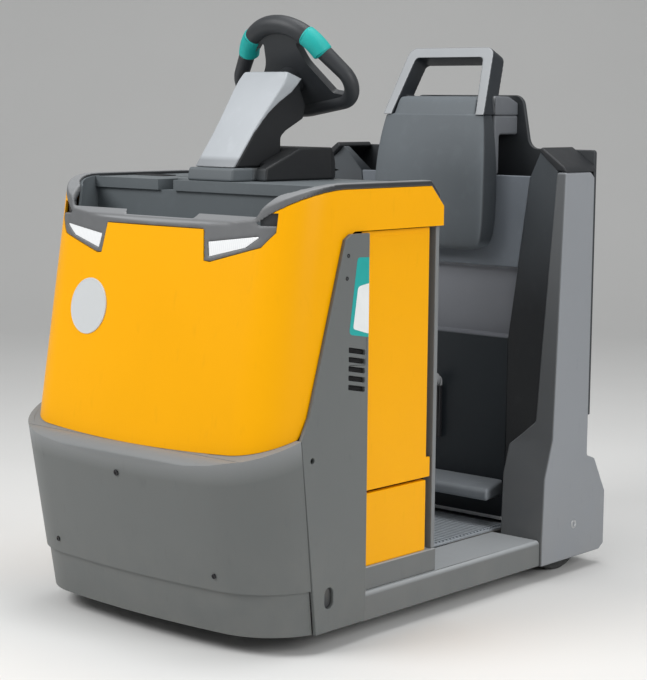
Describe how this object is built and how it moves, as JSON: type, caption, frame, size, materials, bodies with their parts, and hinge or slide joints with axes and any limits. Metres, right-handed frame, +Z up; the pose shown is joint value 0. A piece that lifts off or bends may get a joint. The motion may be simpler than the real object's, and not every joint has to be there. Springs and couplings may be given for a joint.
{
  "type": "stand-on electric tow tractor",
  "caption": "Compact electric tow tractor with a stand-on operator bay, bowed hood, battery doors, steered drive wheel in the nose, rear load wheels and a tow coupling.",
  "frame": {"origin": "on the ground under the middle of the bounding box", "axes": "+X forward, +Y to the driver's left, +Z up"},
  "size_m": [1.3629, 0.81, 1.3636],
  "materials": {
    "frame_steel": "satin black paint",
    "grey_paint": "satin grey paint",
    "light_grey": "satin light grey paint",
    "yellow": "gloss yellow paint",
    "dark_plastic": "fine grain",
    "grey_plastic": "fine grain",
    "black_plastic": "fine grain",
    "silver_plastic": "satin silver",
    "lamp_white": "clear over white",
    "teal": "soft grip",
    "pad": "moulded foam skin",
    "mat_rubber": "ribbed",
    "tyre": "solid tyre",
    "bright_steel": "machined",
    "cast": "cast and painted",
    "rim_plastic": "fine grain",
    "grey_tyre": "non-marking solid tyre"
  },
  "bodies": {
    "body": {"chassis": "frame_steel", "front_apron": "grey_paint", "side_panel_left": "grey_paint", "side_panel_right": "grey_paint", "hood": "yellow", "hood_rim": "rim_plastic", "lamps": "lamp_white", "dash_deck": "dark_plastic", "console": "dark_plastic", "column_body": "dark_plastic", "column_cover": "silver_plastic", "battery": "black_plastic", "door_hinge_pins": "bright_steel", "lower_panels": "yellow", "posts": "grey_paint", "bulkhead": "dark_plastic", "sill_left": "light_grey", "sill_right": "light_grey", "platform": "frame_steel", "floor_mat": "mat_rubber", "foot_ledge": "grey_paint", "rear_wall": "dark_plastic", "wing_left": "dark_plastic", "wing_right": "dark_plastic", "wing_caps": "black_plastic", "cheek_left": "light_grey", "cheek_right": "light_grey", "cowl": "dark_plastic", "backrest_pad": "pad", "backrest_shell": "grey_plastic", "backrest_handle": "grey_plastic", "rear_axle": "bright_steel", "tow_coupling": "frame_steel", "release_lever": "black_plastic"},
    "steering": {"steering_wheel": "black_plastic", "steering_grips": "teal"},
    "door_left": {"battery_door_left": "yellow"},
    "door_right": {"battery_door_right": "yellow"},
    "wheel_left": {"rear_tyre_left": "grey_tyre", "rear_hub_left": "bright_steel"},
    "wheel_right": {"rear_tyre_right": "grey_tyre", "rear_hub_right": "bright_steel"},
    "drive_unit": {"drive_frame": "cast", "drive_motor": "cast"},
    "drive_wheel": {"drive_tyre": "tyre", "drive_hub": "bright_steel"}
  },
  "joints": [
    {"name": "drive_steer", "type": "hinge", "parent": "body", "child": "drive_unit", "pos_m": [0.465, 0, 0.308], "axis": [0, 0, 1], "range_deg": [-90, 90]},
    {"name": "drive_spin", "type": "hinge", "parent": "drive_unit", "child": "drive_wheel", "pos_m": [0.465, 0, 0.127], "axis": [0, 1, 0], "continuous": true},
    {"name": "wheel_turn", "type": "hinge", "parent": "body", "child": "steering", "pos_m": [0.115, 0, 1.221], "axis": [-0.891, 0, 0.454], "range_deg": [-90, 90]},
    {"name": "rear_spin_left", "type": "hinge", "parent": "body", "child": "wheel_left", "pos_m": [-0.5, 0.325, 0.12], "axis": [0, 1, 0], "continuous": true},
    {"name": "rear_spin_right", "type": "hinge", "parent": "body", "child": "wheel_right", "pos_m": [-0.5, -0.325, 0.12], "axis": [0, 1, 0], "continuous": true},
    {"name": "door_swing_left", "type": "hinge", "parent": "body", "child": "door_left", "pos_m": [0.3, 0.374, 0.6], "axis": [0, 0, -1], "range_deg": [0, 90]},
    {"name": "door_swing_right", "type": "hinge", "parent": "body", "child": "door_right", "pos_m": [0.3, -0.374, 0.6], "axis": [0, 0, 1], "range_deg": [0, 90]}
  ],
  "couplings": [
    {"joint": "wheel_turn", "follows": "drive_steer", "ratio": 1}
  ]
}
